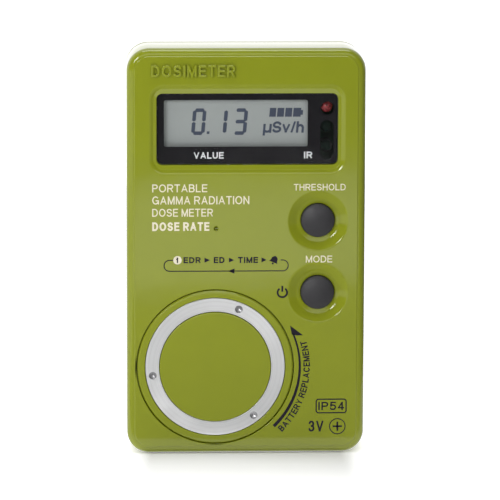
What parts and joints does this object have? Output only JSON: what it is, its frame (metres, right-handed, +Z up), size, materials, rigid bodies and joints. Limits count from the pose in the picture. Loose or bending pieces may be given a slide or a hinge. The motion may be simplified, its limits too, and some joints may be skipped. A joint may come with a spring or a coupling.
{
  "type": "personal gamma dosimeter",
  "caption": "Pocket radiation dosimeter: painted metal case with a recessed display window, domed push buttons, a round screw-in battery cover with a bare key ring, and a sprung back clip.",
  "frame": {"origin": "centre of the case's flat bottom, which it stands on", "axes": "+Z up along the case's height, +Y from the display side to the clip side, +X to the right seen from the display side"},
  "size_m": [0.058, 0.0219, 0.1],
  "materials": {
    "olive_paint": "semi-gloss",
    "bare_aluminium": "turned",
    "window_acrylic": "polished",
    "black_foam": "matt",
    "lcd_glass": "satin",
    "black_plastic": "matt",
    "zebra_rubber": "matt",
    "red_lens": "clear lens",
    "smoked_lens": "smoked lens",
    "dark_rubber": "satin",
    "nitrile_rubber": "matt",
    "cream_plastic": "matt",
    "cell_steel": "nickel plated",
    "white_plastic": "matt",
    "spring_brass": "bright",
    "board_green": "solder mask",
    "tube_steel": "bright",
    "filter_tin": "dull",
    "ferrite": "sintered",
    "capacitor_sleeve": "shrink sleeve",
    "zinc_steel": "zinc plated",
    "clip_steel": "satin"
  },
  "bodies": {
    "case": {"front_shell": "olive_paint", "rear_cover": "olive_paint", "case_gasket": "nitrile_rubber", "case_screw_1": "zinc_steel", "case_screw_2": "zinc_steel", "case_screw_3": "zinc_steel", "case_screw_4": "zinc_steel", "display_window": "window_acrylic", "window_seal": "black_foam", "lcd_glass": "lcd_glass", "lcd_holder": "black_plastic", "zebra_strip_upper": "zebra_rubber", "zebra_strip_lower": "zebra_rubber", "alarm_led": "red_lens", "ir_emitter": "smoked_lens", "ir_receiver": "smoked_lens", "threshold_switch_body": "black_plastic", "mode_switch_body": "black_plastic", "coin_cell": "cell_steel", "battery_cup": "white_plastic", "positive_contact": "spring_brass", "negative_contact": "spring_brass", "main_board": "board_green", "board_screw_1": "zinc_steel", "board_screw_2": "zinc_steel", "board_screw_3": "zinc_steel", "gm_tube": "tube_steel", "tube_filter": "filter_tin", "tube_clip_left": "spring_brass", "tube_clip_right": "spring_brass", "hv_transformer": "ferrite", "hv_capacitor": "capacitor_sleeve", "microcontroller": "black_plastic", "quartz_crystal": "tube_steel", "piezo_sounder": "spring_brass", "clip_bracket": "clip_steel", "clip_rivet_1": "zinc_steel", "clip_rivet_2": "zinc_steel", "clip_pin": "zinc_steel", "clip_spring": "zinc_steel"},
    "threshold_button": {"threshold_button": "dark_rubber"},
    "threshold_plunger": {"threshold_switch_plunger": "cream_plastic"},
    "mode_button": {"mode_button": "dark_rubber"},
    "mode_plunger": {"mode_switch_plunger": "cream_plastic"},
    "cover_lift": {"cover_seal": "nitrile_rubber"},
    "battery_cover": {"battery_cover": "olive_paint", "cover_ring": "bare_aluminium"},
    "belt_clip": {"belt_clip": "clip_steel"}
  },
  "joints": [
    {"name": "threshold_press", "type": "slide", "parent": "case", "child": "threshold_button", "axis": [0, 1, 0], "range_m": [0, 0.0005], "stiffness_N_per_m": 2000, "springref_m": -0.0006},
    {"name": "threshold_plunger_travel", "type": "slide", "parent": "case", "child": "threshold_plunger", "axis": [0, 1, 0], "range_m": [0, 0.0005]},
    {"name": "mode_press", "type": "slide", "parent": "case", "child": "mode_button", "axis": [0, 1, 0], "range_m": [0, 0.0005], "stiffness_N_per_m": 2000, "springref_m": -0.0006},
    {"name": "mode_plunger_travel", "type": "slide", "parent": "case", "child": "mode_plunger", "axis": [0, 1, 0], "range_m": [0, 0.0005]},
    {"name": "cover_travel", "type": "slide", "parent": "case", "child": "cover_lift", "axis": [0, -1, 0], "range_m": [0, 0.00263]},
    {"name": "cover_unscrew", "type": "hinge", "parent": "cover_lift", "child": "battery_cover", "pos_m": [-0.00747, 0, 0.02167], "axis": [0, -1, 0], "range_deg": [0, 630]},
    {"name": "clip_open", "type": "hinge", "parent": "case", "child": "belt_clip", "pos_m": [0, 0.01, 0.08], "axis": [1, 0, 0], "range_deg": [0, 14], "stiffness_Nm_per_rad": 0.12, "springref_deg": -22.92, "deforming": ["clip_spring"]}
  ],
  "couplings": [
    {"joint": "threshold_plunger_travel", "follows": "threshold_press", "ratio": 1},
    {"joint": "mode_plunger_travel", "follows": "mode_press", "ratio": 1},
    {"joint": "cover_unscrew", "follows": "cover_travel", "rad_per_m": 4188.8}
  ]
}
